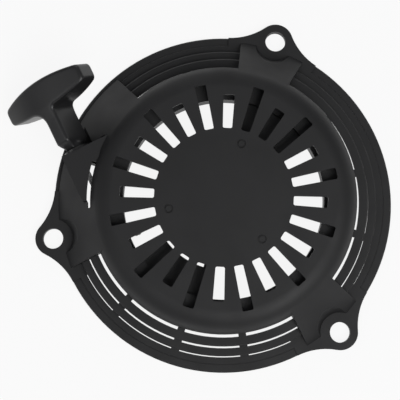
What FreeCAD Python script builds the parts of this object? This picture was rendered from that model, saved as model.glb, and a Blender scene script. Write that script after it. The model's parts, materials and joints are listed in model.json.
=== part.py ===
"""Recoil starter for a small vertical-shaft engine, in millimetres.

The origin is the centre of the bolt circle, on the plane where the cover meets the engine.
+Z points out of the face of the cover, and the three ears stand at ear_angle and 120 degrees on.
"""
import FreeCAD, Part
import Sketcher
import math
import os
import re

SIZES = (
    # ears and bolt holes
    ("bolt_out", 2.7),
    ("bolt_hole_r", 6.0),
    ("bolt_seat_r", 11.6),
    ("seat_lean", 20.0),
    ("ear_r", 10.4),
    ("ear_angle", 72.0),
    ("ear_spread", 16.0),
    # shell of the cover: the face, and the treads that step down and out to the rim
    ("face_r", 77.4),
    ("step_a_wide", 6.8),
    ("step_a_top", 16.0),
    ("step_b_wide", 5.7),
    ("step_b_top", 10.0),
    ("flange_wide", 5.1),
    ("flange_top", 5.2),
    ("rim_wide", 4.5),
    ("rim_top", 3.8),
    ("step_edge", 0.7),
    ("face_draft", 1.2),
    ("cover_top", 36.0),
    ("face_round", 13.0),
    ("cover_wall", 2.2),
    # louvres and ramps
    ("gap_a", 1.6),
    ("gap_b", 1.0),
    ("gap_c", 0.65),
    ("louvre_half", 48.5),
    ("bridge_pitch", 26.0),
    ("bridge_half", 1.6),
    ("ramp_back", 2.5),
    ("ramp_half", 11.5),
    # cooling slots in the face
    ("slot_wide", 6.5),
    ("slot_neck", 5.3),
    ("slot_inner_r", 39.5),
    ("slot_long_r", 65.5),
    ("slot_short_r", 59.0),
    ("slot_corner", 1.0),
    ("mark_orbit_r", 32.0),
    ("mark_r", 2.6),
    ("mark_wide", 1.0),
    ("mark_deep", 0.8),
    # rope, its line of pull and the duct it leaves by
    ("rope_r", 1.6),
    ("pull_angle", 116.0),
    ("rope_high", 22.5),
    ("duct_in", 10.5),
    ("duct_out", 18.2),
    ("duct_half", 9.4),
    ("duct_roof", 0.5),
    ("duct_wall", 2.0),
    ("duct_gap", 2.8),
    ("mouth_gap", 1.0),
    ("mouth_room", 10.0),
    ("guide_wall", 0.9),
    ("guide_lip_wide", 1.4),
    ("guide_lip", 1.3),
    # post, sleeve and the stack under it
    ("post_r", 8.0),
    ("post_end", 7.4),
    ("post_root_r", 12.0),
    ("sleeve_wall", 1.2),
    ("screw_r", 2.45),
    ("screw_head_r", 6.5),
    ("screw_head", 3.2),
    ("washer_r", 12.0),
    ("washer_thick", 1.2),
    # reel
    ("groove_r", 58.8),
    ("groove_slack", 1.3),
    ("reel_lip", 2.4),
    ("reel_flange", 1.1),
    ("hub_r", 36.0),
    ("hub_wall", 2.4),
    ("hub_floor", 18.5),
    ("floor_thick", 2.6),
    ("hub_top", 30.5),
    ("boss_wall", 3.2),
    ("wing_gap", 4.5),
    ("wing_span", 47.5),
    ("wing_angle", 238.25),
    ("root_span", 9.5),
    ("root_angle", 258.25),
    ("knot_turn", 127.5),
    ("keeper_thick", 0.6),
    ("spring_band", 0.6),
    ("spring_high", 8.0),
    ("spring_room", 1.5),
    ("spring_turns", 6.0),
    # pawls and the plate that works them
    ("pin_orbit_r", 22.0),
    ("pin_r", 2.5),
    ("pawl_low", 12.0),
    ("pawl_thick", 5.5),
    ("pawl_long", 16.0),
    ("pawl_eye_r", 4.3),
    ("pawl_nose_r", 2.6),
    ("cam_plate_r", 16.0),
    ("cam_plate_low", 7.8),
    ("cam_plate_thick", 2.4),
    ("cam_orbit_r", 20.0),
    ("cam_r", 2.4),
    ("cam_angle", -40.0),
    ("drag_wire_r", 0.6),
    ("pawl_wire_r", 0.3),
    # grip, measured up its stem from the nozzle's tip
    ("nozzle_in", 4.5),
    ("grip_roll", 33.5),
    ("nozzle_long", 6.1),
    ("nozzle_r", 4.7),
    ("nozzle_gap", 0.4),
    ("stem_wide", 9.0),
    ("stem_deep", 20.0),
    ("bar_start", 32.8),
    ("grip_long", 50.0),
    ("bar_half", 30.4),
    ("bar_deep", 22.0),
    ("bar_end_deep", 13.0),
    ("bar_end_start", 35.2),
    ("bar_end_top", 46.0),
    ("grip_edge", 2.0),
    ("cavity_r", 6.0),
    ("cavity_deep", 12.0),
    ("insert_thick", 2.0),
    ("knot_r", 3.6),
    # clearances
    ("fit_gap", 0.05),
    ("near_gap", 0.3),
)
size = dict(SIZES)

EAR_COUNT = 3
SLOT_COUNT = 12
PAWL_COUNT = 2

doc = FreeCAD.newDocument("recoil_starter")
sheet = doc.addObject("Spreadsheet::Sheet", "Sizes")
for row, (alias, value) in enumerate(SIZES, start=1):
    sheet.set("A%d" % row, alias)
    sheet.set("B%d" % row, str(value))
    sheet.setAlias("B%d" % row, alias)
doc.recompute()


# ---------------------------------------------------------------- helpers
def formula(text):
    """Every word with an underscore is a cell of the sheet."""
    return re.sub(r"\b[a-z]+(?:_[a-z]+)+\b", r"Sizes.\g<0>", str(text))


def bind(thing, **properties):
    for name, text in properties.items():
        thing.setExpression(name, formula(text))


def new_body(label):
    body = doc.addObject("PartDesign::Body", label)
    body.Label = label
    return body


def origin_feature(body, role):
    return next(item for item in body.Origin.OriginFeatures if item.Role == role)


def sketch_flat(body, name, high=0, turn=0, at_x=0, at_y=0):
    """A sketch in a level plane: its height, its turn about Z and its origin are formulas."""
    sketch = body.newObject("Sketcher::SketchObject", name)
    sketch.AttachmentSupport = [(origin_feature(body, "XY_Plane"), "")]
    sketch.MapMode = "FlatFace"
    spin = FreeCAD.Rotation(FreeCAD.Vector(0, 0, 1), 1)
    sketch.AttachmentOffset = FreeCAD.Placement(FreeCAD.Vector(), spin)
    sketch.setExpression("AttachmentOffset.Rotation.Angle", formula(turn))
    sketch.setExpression("AttachmentOffset.Base.x", formula(at_x))
    sketch.setExpression("AttachmentOffset.Base.y", formula(at_y))
    sketch.setExpression("AttachmentOffset.Base.z", formula(high))
    return sketch


def sketch_upright(body, name, turn=0, out=0):
    """An upright sketch with its x outward along the angle turn, and its origin this far out."""
    sketch = body.newObject("Sketcher::SketchObject", name)
    sketch.AttachmentSupport = [(origin_feature(body, "XZ_Plane"), "")]
    sketch.MapMode = "FlatFace"
    spin = FreeCAD.Rotation(FreeCAD.Vector(0, 1, 0), 1)
    sketch.AttachmentOffset = FreeCAD.Placement(FreeCAD.Vector(), spin)
    sketch.setExpression("AttachmentOffset.Rotation.Angle", formula(turn))
    sketch.setExpression("AttachmentOffset.Base.x", formula("%s * cos(%s)" % (out, turn)))
    sketch.setExpression("AttachmentOffset.Base.z", formula("-%s * sin(%s)" % (out, turn)))
    return sketch


def polygon(sketch, corners):
    """A closed outline whose corners are pairs of formulas, each held by two dimensions."""
    first = sketch.GeometryCount
    count = len(corners)
    seeds = []
    for i in range(count):
        turn = 2 * math.pi * i / count + 0.3
        seeds.append(FreeCAD.Vector(math.cos(turn), math.sin(turn), 0))
    for i in range(count):
        sketch.addGeometry(Part.LineSegment(seeds[i], seeds[(i + 1) % count]))
    for i in range(count):
        following = first + (i + 1) % count
        sketch.addConstraint(Sketcher.Constraint("Coincident", first + i, 2, following, 1))
    for i, corner in enumerate(corners):
        for kind, text, seed in zip(("DistanceX", "DistanceY"), corner, seeds[i]):
            constraint = Sketcher.Constraint(kind, -1, 1, first + i, 1, seed)
            index = sketch.addConstraint(constraint)
            sketch.setExpression("Constraints[%d]" % index, formula(text))
    return sketch


def box_outline(sketch, low_x, high_x, low_y, high_y):
    return polygon(sketch, ((low_x, low_y), (high_x, low_y), (high_x, high_y), (low_x, high_y)))


def circle(sketch, x, y, radius):
    geometry = sketch.GeometryCount
    sketch.addGeometry(Part.Circle(FreeCAD.Vector(0.1, 0.1, 0), FreeCAD.Vector(0, 0, 1), 1.0))
    for kind, text in (("DistanceX", x), ("DistanceY", y)):
        index = sketch.addConstraint(Sketcher.Constraint(kind, -1, 1, geometry, 3, 0.1))
        sketch.setExpression("Constraints[%d]" % index, formula(text))
    index = sketch.addConstraint(Sketcher.Constraint("Radius", geometry, 1.0))
    sketch.setExpression("Constraints[%d]" % index, formula(radius))
    return sketch


def pad(body, sketch, long, middle=False):
    feature = body.newObject("PartDesign::Pad", sketch.Name + "_pad")
    feature.Profile = sketch
    feature.Midplane = middle
    feature.Refine = False
    bind(feature, Length=long)
    return feature


def pocket(body, sketch, long):
    """Cuts upward from the sketch, whose own normal points up."""
    feature = body.newObject("PartDesign::Pocket", sketch.Name + "_cut")
    feature.Profile = sketch
    feature.Reversed = True
    feature.Refine = False
    bind(feature, Length=long)
    return feature


def revolve(body, sketch, axis="V_Axis", angle=360, middle=False, cut=False):
    kind = "Groove" if cut else "Revolution"
    feature = body.newObject("PartDesign::" + kind, sketch.Name + "_turn")
    feature.Profile = sketch
    feature.ReferenceAxis = (sketch, [axis])
    feature.Midplane = middle
    feature.Refine = False
    bind(feature, Angle=angle)
    return feature


def around(body, name, features, count, angle=360):
    pattern = body.newObject("PartDesign::PolarPattern", name)
    pattern.Originals = features
    pattern.Axis = (origin_feature(body, "Z_Axis"), [""])
    pattern.Angle = angle
    pattern.Occurrences = count
    pattern.Refine = False
    body.Tip = pattern
    return pattern


def must_change(body, before, sign):
    """A cut or a pad that misses its body raises here, and not in a later step."""
    doc.recompute()
    after = body.Tip.Shape.Volume
    if sign * (after - before) <= 0:
        raise ValueError("%s did nothing to %s" % (body.Tip.Name, body.Label))
    return after


def soften(body, name, radius, chosen):
    """Rounds the edges of the body's last feature that the function chosen accepts."""
    doc.recompute()
    base = body.Tip
    names = []
    for index, edge in enumerate(base.Shape.Edges, start=1):
        if chosen(edge):
            names.append("Edge%d" % index)
    if not names:
        raise ValueError("no edge to round for " + name)
    feature = body.newObject("PartDesign::Fillet", name)
    feature.Base = (base, names)
    bind(feature, Radius=radius)
    body.Tip = feature
    doc.recompute()
    return feature


def is_ring(edge, radius, high):
    """A circle about Z of this radius and height."""
    if not isinstance(edge.Curve, Part.Circle):
        return False
    centre = edge.Curve.Center
    on_axis = math.hypot(centre.x, centre.y) < 0.01
    return on_axis and abs(edge.Curve.Radius - radius) < 0.01 and abs(centre.z - high) < 0.01


def is_upright(edge):
    """A straight edge along Z."""
    ends = [vertex.Point for vertex in edge.Vertexes]
    if len(ends) != 2 or not isinstance(edge.Curve, (Part.Line, Part.LineSegment)):
        return False
    return math.hypot(ends[0].x - ends[1].x, ends[0].y - ends[1].y) < 0.001


# ---------------------------------------------------------------- values that several pieces share
STEP_A_R = "(face_r + step_a_wide)"
STEP_B_R = "(face_r + step_a_wide + step_b_wide)"
FLANGE_R = "(face_r + step_a_wide + step_b_wide + flange_wide)"
RIM_R = "(face_r + step_a_wide + step_b_wide + flange_wide + rim_wide)"
BOLT_CIRCLE_R = "(%s + bolt_out)" % RIM_R
FACE_UNDER = "(cover_top - cover_wall)"
ROPE_LINE_R = "(groove_r + 2 * fit_gap + 3 * rope_r)"
GROOVE_MID = "(rope_high - rope_r - fit_gap)"
GROOVE_WIDE = "(4 * rope_r + groove_slack)"
REEL_R = "(%s + rope_r + reel_lip)" % ROPE_LINE_R
WING_INNER_R = "(hub_r + wing_gap)"
SLEEVE_R = "(post_r + fit_gap + sleeve_wall)"
REEL_BORE_R = "(post_r + 2 * fit_gap + sleeve_wall)"
BOSS_R = "(post_r + 2 * fit_gap + sleeve_wall + boss_wall)"
CHAMBER_R = "(hub_r - hub_wall)"
FLOOR_TOP = "(hub_floor + floor_thick)"
KNOT_ANGLE = "(ear_angle + knot_turn)"
GUIDE_BORE_R = "(nozzle_r + nozzle_gap)"
GUIDE_R = "(nozzle_r + nozzle_gap + guide_wall)"
TUNNEL_LOW = "(rope_high - nozzle_r - nozzle_gap)"

# the drafted skirt of the cover, and the centre of the rounding above it
ROUND_Z = "(cover_top - face_round)"
SKIRT_LEAN = "(face_draft / (cover_top - step_a_top))"
ROUND_R = "(face_r - %s * (%s - step_a_top) - face_round * sqrt(1 + %s^2))" % (
    SKIRT_LEAN, ROUND_Z, SKIRT_LEAN)
# the slopes end ramp_back inside the rim, and ramp_lean is the angle of their normal
RAMP_END_R = "(%s - ramp_back)" % RIM_R
RAMP_DROP = "(flange_top - %s)" % ROUND_Z
RAMP_RUN = "(%s - %s)" % (RAMP_END_R, ROUND_R)
RAMP_LEAN = "(atan2(%s; %s) + acos(face_round / sqrt(%s^2 + %s^2)))" % (
    RAMP_DROP, RAMP_RUN, RAMP_DROP, RAMP_RUN)

# the duct, along the line of pull, from where the rope crosses the skirt
SKIRT_EXIT = "sqrt(face_r^2 - %s^2)" % ROPE_LINE_R
DUCT_TOP = "(rope_high + nozzle_r + nozzle_gap + guide_wall + duct_roof)"
DUCT_START = "(%s - duct_in)" % SKIRT_EXIT
DUCT_END = "(%s + duct_out)" % SKIRT_EXIT
DUCT_ANGLE = "(pull_angle + atan2(%s + duct_half; %s) / 1 deg)" % (ROPE_LINE_R, DUCT_START)
MOUTH_ANGLE = "(pull_angle + atan2(%s; %s) / 1 deg)" % (ROPE_LINE_R, DUCT_END)

rim_r = sum(size[name] for name in ("face_r", "step_a_wide", "step_b_wide", "flange_wide", "rim_wide"))
step_b_r = rim_r - size["rim_wide"] - size["flange_wide"]
boss_r = size["post_r"] + 2 * size["fit_gap"] + size["sleeve_wall"] + size["boss_wall"]
rope_line_r = size["groove_r"] + 2 * size["fit_gap"] + 3 * size["rope_r"]
duct_end = math.sqrt(size["face_r"] ** 2 - rope_line_r ** 2) + size["duct_out"]
grip_start = duct_end - size["nozzle_in"]
pull = math.radians(size["pull_angle"])
along = FreeCAD.Vector(math.cos(pull), math.sin(pull), 0)
outward = FreeCAD.Vector(-math.sin(pull), math.cos(pull), 0)
up = FreeCAD.Vector(0, 0, 1)
rope_start = outward * rope_line_r + up * size["rope_high"]


def rope_sketch(body, name, high):
    """A level sketch with x along the line of pull and y outward from it."""
    turn = "pull_angle"
    x = ROPE_LINE_R + " * cos(pull_angle + 90)"
    y = ROPE_LINE_R + " * sin(pull_angle + 90)"
    return sketch_flat(body, name, high, turn, x, y)


def rope_frame(distance, roll=0.0):
    """The placement of a piece on the rope's line, with its own z along the pull."""
    turned = FreeCAD.Rotation(-outward, -up, along, "ZXY")
    spin = FreeCAD.Rotation(FreeCAD.Vector(0, 0, 1), -roll)
    return FreeCAD.Placement(rope_start + along * distance, turned * spin)


# ---------------------------------------------------------------- cover
def step_corners(riser, tread_end, top):
    """The top of a riser, with its small bevel, and the tread that runs in from it."""
    return ((riser, top + " - step_edge"), (riser + " - step_edge", top), (tread_end, top))


def make_cover():
    body = new_body("cover")
    low_b = "step_b_top - cover_wall"
    low_a = "step_a_top - cover_wall"
    low_flange = "flange_top - cover_wall"
    shell = sketch_upright(body, "cover_profile")
    polygon(shell, (
        ("screw_r + fit_gap", "post_end"),
        ("post_r", "post_end"),
        ("post_r", "hub_top + near_gap"),
        ("post_root_r", "hub_top + near_gap"),
        ("post_root_r", FACE_UNDER),
        ("face_r - face_draft - cover_wall", FACE_UNDER),
        ("face_r - cover_wall", low_a),
        (STEP_A_R + " - cover_wall", low_a),
        (STEP_A_R + " - cover_wall", low_b),
        (STEP_B_R + " - cover_wall", low_b),
        (STEP_B_R + " - cover_wall", low_flange),
        (RIM_R + " - cover_wall", low_flange),
        (RIM_R + " - cover_wall", "0"),
        (RIM_R, "0"),
        *step_corners(RIM_R, FLANGE_R, "rim_top"),
        *step_corners(FLANGE_R, STEP_B_R, "flange_top"),
        *step_corners(STEP_B_R, STEP_A_R, "step_b_top"),
        *step_corners(STEP_A_R, "face_r", "step_a_top"),
        ("face_r - face_draft", "cover_top"),
        ("0", "cover_top"),
        ("0", "cover_top - cover_wall"),
        ("screw_r + fit_gap", "cover_top - cover_wall"),
    ))
    revolve(body, shell)
    top, wall = size["cover_top"], size["cover_wall"]
    corner = size["face_r"] - size["face_draft"]
    soften(body, "face_round_in", "face_round - cover_wall",
           lambda edge: is_ring(edge, corner - wall, top - wall))
    soften(body, "face_round_out", "face_round",
           lambda edge: is_ring(edge, corner, top))
    cut_louvres(body)
    cut_slots(body)
    add_ears(body)
    add_ramps(body)
    add_duct(body)
    return body


def add_ears(body):
    """Three ears: a disc round each bolt hole, run into the rim by a hollow flank on each side."""
    rim, orbit, ear_r = rim_r, rim_r + size["bolt_out"], size["ear_r"]
    spread = math.radians(size["ear_spread"])
    # the flank's centre lies at far from the axis, and touches the rim and the ear from outside
    drop = rim - ear_r
    far = (orbit ** 2 - drop ** 2) / (2 * (orbit * math.cos(spread) - drop))
    flank_r = far - rim
    centre = FreeCAD.Vector(far * math.cos(spread), far * math.sin(spread), 0)
    hole = FreeCAD.Vector(orbit, 0, 0)
    on_rim = FreeCAD.Vector(rim * math.cos(spread), rim * math.sin(spread), 0)
    on_ear = hole + (centre - hole).normalize() * ear_r
    middle = centre + ((on_rim + on_ear) * 0.5 - centre).normalize() * flank_r
    root = FreeCAD.Vector(step_b_r * math.cos(spread), step_b_r * math.sin(spread), 0)

    def mirrored(point):
        return FreeCAD.Vector(point.x, -point.y, 0)

    sketch = sketch_flat(body, "ear_plan", 0, "ear_angle")
    sketch.addGeometry([
        Part.LineSegment(root, on_rim),
        Part.Arc(on_rim, middle, on_ear),
        Part.Arc(on_ear, hole + FreeCAD.Vector(ear_r, 0, 0), mirrored(on_ear)),
        Part.Arc(mirrored(on_ear), mirrored(middle), mirrored(on_rim)),
        Part.LineSegment(mirrored(on_rim), mirrored(root)),
        Part.LineSegment(mirrored(root), root),
    ])
    volume = must_change(body, 0, 1)
    ear = pad(body, sketch, "flange_top")
    around(body, "ears", [ear], EAR_COUNT)
    must_change(body, volume, 1)


def on_rounding(radius):
    """The point at this radius about the rounding's centre, square to the slopes."""
    out = "%s + %s * cos(%s)" % (ROUND_R, radius, RAMP_LEAN)
    high = "%s + %s * sin(%s)" % (ROUND_Z, radius, RAMP_LEAN)
    return out, high


def ramp(body, name, start, end):
    """A solid slope from the rounding down to the flange, over the steps, between two angles."""
    inside = "(face_round - cover_wall / 2)"
    sketch = sketch_upright(body, name, "(%s + %s) / 2" % (start, end))
    polygon(sketch, (
        on_rounding("face_round"),
        (RAMP_END_R, "flange_top"),
        (RAMP_END_R, "rim_top - cover_wall / 2"),
        (STEP_B_R + " - cover_wall / 2", "rim_top - cover_wall / 2"),
        (STEP_B_R + " - cover_wall / 2", "step_b_top - cover_wall / 2"),
        (STEP_A_R + " - cover_wall / 2", "step_b_top - cover_wall / 2"),
        (STEP_A_R + " - cover_wall / 2", "step_a_top - cover_wall / 2"),
        ("face_r - cover_wall / 2", "step_a_top - cover_wall / 2"),
        ("%s + %s" % (ROUND_R, inside), ROUND_Z),
        on_rounding(inside),
    ))
    return revolve(body, sketch, angle="%s - (%s)" % (end, start), middle=True)


def add_ramps(body):
    volume = must_change(body, 0, 1)
    first = ramp(body, "ear_ramp", "ear_angle - ramp_half", "ear_angle + ramp_half")
    around(body, "ear_ramps", [first], EAR_COUNT)
    volume = must_change(body, volume, 1)
    # one slope runs on from the left ear to the duct, and another ends before its mouth
    left_ear = "ear_angle + %d" % (360 / EAR_COUNT)
    body.Tip = ramp(body, "duct_ramp", MOUTH_ANGLE + " + 1", left_ear + " - ramp_half + 2")
    volume = must_change(body, volume, 1)
    bridge = "ear_angle + %d - bridge_half" % (180 / EAR_COUNT)
    body.Tip = ramp(body, "mouth_ramp", bridge, MOUTH_ANGLE + " - 2.5")
    volume = must_change(body, volume, 1)
    # round each bolt the slopes are cut back, with a leaning wall, for the head and its socket
    seats = sketch_upright(body, "bolt_seats", "ear_angle", BOLT_CIRCLE_R)
    seat_top = "bolt_seat_r + (cover_top - flange_top) * tan(seat_lean)"
    polygon(seats, (("0", "flange_top"), ("bolt_seat_r", "flange_top"), (seat_top, "cover_top"),
                    ("0", "cover_top")))
    holes = sketch_flat(body, "bolt_holes", "-1", "ear_angle")
    circle(holes, BOLT_CIRCLE_R, "0", "bolt_hole_r")
    cuts = [revolve(body, seats, cut=True), pocket(body, holes, "cover_top")]
    around(body, "ear_cuts", cuts, EAR_COUNT)
    must_change(body, volume, -1)


def beside_skirt(distance):
    """Where the skirt crosses a line square to the pull, this far along it, outward from the rope."""
    return "sqrt(face_r^2 - (%s)^2) - %s" % (distance, ROPE_LINE_R)


def add_duct(body):
    """The duct that carries the rope from the reel out through the skirt, with its mouth wall."""
    volume = must_change(body, 0, 1)
    block = rope_sketch(body, "duct_block", "flange_top")
    box_outline(block, DUCT_START, DUCT_END, "-3 * duct_half", "duct_half")
    body.Tip = pad(body, block, DUCT_TOP + " - flange_top")
    volume = must_change(body, volume, 1)
    # the block is cleared from inside the skirt, where the reel turns
    room = sketch_upright(body, "reel_room")
    inner = "(face_round - 1.1 * cover_wall)"
    polygon(room, (
        ("post_root_r", "0"), ("face_r - 1.1 * cover_wall", "0"),
        ("face_r - 1.1 * cover_wall", "step_a_top"), ("%s + %s" % (ROUND_R, inner), ROUND_Z),
        on_rounding(inner), ("post_root_r", on_rounding(inner)[1]),
    ))
    body.Tip = revolve(body, room, cut=True)
    volume = must_change(body, volume, -1)
    tunnel = rope_sketch(body, "duct_tunnel", TUNNEL_LOW)
    box_outline(tunnel, DUCT_START + " - duct_in", DUCT_END + " - duct_wall",
                "-%s - duct_wall" % GUIDE_R, "duct_half - duct_wall")
    body.Tip = pocket(body, tunnel, DUCT_TOP + " - duct_wall - " + TUNNEL_LOW)
    volume = must_change(body, volume, -1)
    # space before the mouth: a narrow one along the wall, and a wide one under the grip's stem
    front = rope_sketch(body, "mouth_front", "step_b_top")
    near, far = DUCT_END + " + mouth_gap", DUCT_END + " + 2 * duct_half"
    polygon(front, (
        (DUCT_END, beside_skirt(DUCT_END)), (near, beside_skirt(near)), (near, "-mouth_room"),
        (far, "-mouth_room"), (far, "mouth_room + duct_wall"), (DUCT_END, "mouth_room + duct_wall"),
    ))
    body.Tip = pocket(body, front, "cover_top")
    volume = must_change(body, volume, -1)
    hole = rope_sketch(body, "guide_hole", "rope_high")
    box_outline(hole, DUCT_END + " - nozzle_in - near_gap", DUCT_END + " + duct_wall", "0",
                GUIDE_R + " + fit_gap")
    body.Tip = revolve(body, hole, axis="H_Axis", cut=True)
    volume = must_change(body, volume, -1)
    # between the duct's roof and the skirt a gap is open right down through the steps
    gap_start, gap_end = MOUTH_ANGLE + " + 2.3", DUCT_ANGLE + " + 2.7"
    gap = sketch_upright(body, "duct_gap_profile", "(%s + %s) / 2" % (gap_start, gap_end))
    roof_lean = "asin((%s - %s) / face_round)" % (DUCT_TOP, ROUND_Z)
    roof_r = "(%s + face_round * cos(%s) + fit_gap)" % (ROUND_R, roof_lean)
    polygon(gap, (
        ("face_r", "-1"), ("face_r", "step_a_top"), ("%s + face_round + fit_gap" % ROUND_R, ROUND_Z),
        (roof_r, DUCT_TOP), (roof_r, "cover_top"), (roof_r + " + duct_gap", "cover_top"),
        (roof_r + " + duct_gap", TUNNEL_LOW), (STEP_A_R, TUNNEL_LOW), (STEP_A_R, "-1"),
    ))
    body.Tip = revolve(body, gap, angle="%s - (%s)" % (gap_end, gap_start), middle=True, cut=True)
    must_change(body, volume, -1)


def louvre_cut(body, name, middle, span):
    """Three narrow gaps through the feet of the risers, over an arc about the angle middle."""
    sketch = sketch_upright(body, name, middle)
    for root, gap in (("face_r", "gap_a"), (STEP_A_R, "gap_b"), (STEP_B_R, "gap_c")):
        box_outline(sketch, root, root + " + " + gap, "-1", "cover_top")
    return revolve(body, sketch, angle=span, middle=True, cut=True)


def cut_louvres(body):
    """Each group of louvres has a bridge at its middle and one bridge_pitch to each side."""
    volume = must_change(body, 0, 1)
    far_span = "louvre_half - bridge_pitch - bridge_half"
    near_span = "bridge_pitch - 2 * bridge_half"
    far_at = "(louvre_half + bridge_pitch + bridge_half) / 2"
    near_at = "bridge_pitch / 2"
    group = "ear_angle - %d" % (180 / EAR_COUNT)
    first = [
        louvre_cut(body, "louvre_far_left", "%s - %s" % (group, far_at), far_span),
        louvre_cut(body, "louvre_near_left", "%s - %s" % (group, near_at), near_span),
    ]
    around(body, "louvres_left", first, EAR_COUNT)
    volume = must_change(body, volume, -1)
    # the group beside the duct has only this first half
    second = [
        louvre_cut(body, "louvre_far_right", "%s + %s - 120" % (group, far_at), far_span),
        louvre_cut(body, "louvre_near_right", "%s + %s - 120" % (group, near_at), near_span),
    ]
    around(body, "louvres_right", second, EAR_COUNT - 1, 120)
    must_change(body, volume, -1)


def cut_slots(body):
    """Long and short cooling slots take turns round the face, and widen outward."""
    volume = must_change(body, 0, 1)
    between = "ear_angle + %d" % (180 / SLOT_COUNT)
    for name, end, turn in (("slot_long", "slot_long_r", "ear_angle"),
                            ("slot_short", "slot_short_r", between)):
        sketch = sketch_flat(body, name, FACE_UNDER + " - 1", turn)
        polygon(sketch, (("slot_inner_r", "-slot_neck / 2"), (end, "-slot_wide / 2"),
                         (end, "slot_wide / 2"), ("slot_inner_r", "slot_neck / 2")))
        cut = pocket(body, sketch, "2 * cover_wall + 2")
        around(body, name + "s", [cut], SLOT_COUNT)
        volume = must_change(body, volume, -1)

    def at_slot(edge):
        if not is_upright(edge):
            return False
        point = edge.Vertexes[0].Point
        distance = math.hypot(point.x, point.y)
        inside = size["slot_inner_r"] - 1 < distance < size["slot_long_r"] + 1
        return inside and abs(edge.Length - size["cover_wall"]) < 0.1 * size["cover_wall"]

    soften(body, "slot_corners", "slot_corner", at_slot)
    volume = must_change(body, 0, 1)
    marks = sketch_flat(body, "face_mark", "cover_top - mark_deep", "ear_angle")
    circle(marks, "mark_orbit_r", "0", "mark_r")
    circle(marks, "mark_orbit_r", "0", "mark_r - mark_wide")
    around(body, "face_marks", [pocket(body, marks, "2 * mark_deep")], EAR_COUNT)
    must_change(body, volume, -1)


# ---------------------------------------------------------------- pieces fixed to the cover
def make_turned(label, profiles):
    """A body turned about Z from one or more closed profiles of radius and height."""
    body = new_body(label)
    for index, corners in enumerate(profiles):
        sketch = sketch_upright(body, "%s_profile_%d" % (label, index))
        polygon(sketch, corners)
        body.Tip = revolve(body, sketch)
    return body


def ring_profile(inner, outer, low, high):
    return ((inner, low), (outer, low), (outer, high), (inner, high))


def make_rope_guide():
    """A flanged eyelet in the mouth wall: its own z is the line of pull, from the wall's inside."""
    lip_low, lip_top = "duct_wall + fit_gap", "duct_wall + guide_lip"
    lip_r = GUIDE_R + " + guide_lip_wide"
    body = make_turned("rope_guide", (
        ((GUIDE_BORE_R, "0"), (GUIDE_R, "0"), (GUIDE_R, lip_low),
         (lip_r, lip_low), (lip_r, lip_top), (GUIDE_BORE_R, lip_top)),
    ))
    body.Placement = rope_frame(duct_end - size["duct_wall"])
    return body


def make_center_screw():
    head_low = "post_end - washer_thick - screw_head"
    head_top = "post_end - washer_thick"
    body = make_turned("center_screw", (
        (("0", head_low), ("screw_head_r", head_low), ("screw_head_r", head_top),
         ("screw_r", head_top), ("screw_r", "rope_high"), ("0", "rope_high")),
    ))
    socket = sketch_flat(body, "screw_socket", head_low)
    box_outline(socket, "-screw_r", "screw_r", "-0.6", "0.6")
    cross = sketch_flat(body, "screw_cross", head_low)
    box_outline(cross, "-0.6", "0.6", "-screw_r", "screw_r")
    volume = must_change(body, 0, 1)
    body.Tip = pocket(body, socket, "screw_head / 2")
    volume = must_change(body, volume, -1)
    body.Tip = pocket(body, cross, "screw_head / 2")
    must_change(body, volume, -1)
    soften(body, "screw_head_round", "1.2",
           lambda edge: is_ring(edge, size["screw_head_r"],
                                size["post_end"] - size["washer_thick"] - size["screw_head"]))
    return body


def make_thrust_washer():
    return make_turned("thrust_washer", (
        ring_profile("screw_r + fit_gap", "washer_r", "post_end - washer_thick", "post_end"),
    ))


def make_spindle_sleeve():
    low = "cam_plate_low + cam_plate_thick + near_gap"
    return make_turned("spindle_sleeve", (
        ring_profile("post_r + fit_gap / 2", SLEEVE_R, low, "hub_top"),
    ))


def make_recoil_spring():
    """A flat band wound in half circles, each half a turn larger, with a hook at its inner end."""
    band, inner = size["spring_band"], boss_r + size["spring_room"]
    chamber = size["hub_r"] - size["hub_wall"] - size["near_gap"]
    halves = int(2 * size["spring_turns"])
    growth = (chamber - band - inner) / halves
    low = size["hub_floor"] + size["floor_thick"] + size["near_gap"]
    strips = []
    for k in range(halves):
        centre = FreeCAD.Vector(growth * (k % 2), 0, low)
        radius = inner + growth * k
        side = 180.0 * (k % 2)
        outer = Part.makeCylinder(radius + band, size["spring_high"], centre, up, 180)
        core = Part.makeCylinder(radius, size["spring_high"], centre, up, 360)
        half = outer.cut(core)
        half.rotate(centre, up, side)
        strips.append(half)
    hook_start = boss_r + size["near_gap"]
    hook = Part.makeBox(inner + band - hook_start, band, size["spring_high"],
                        FreeCAD.Vector(hook_start, 0, low))
    shape = strips[0].multiFuse(strips[1:] + [hook]).removeSplitter()
    feature = doc.addObject("Part::Feature", "recoil_spring")
    feature.Label = "recoil_spring"
    feature.Shape = shape
    feature.Placement = FreeCAD.Placement()
    return feature


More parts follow.
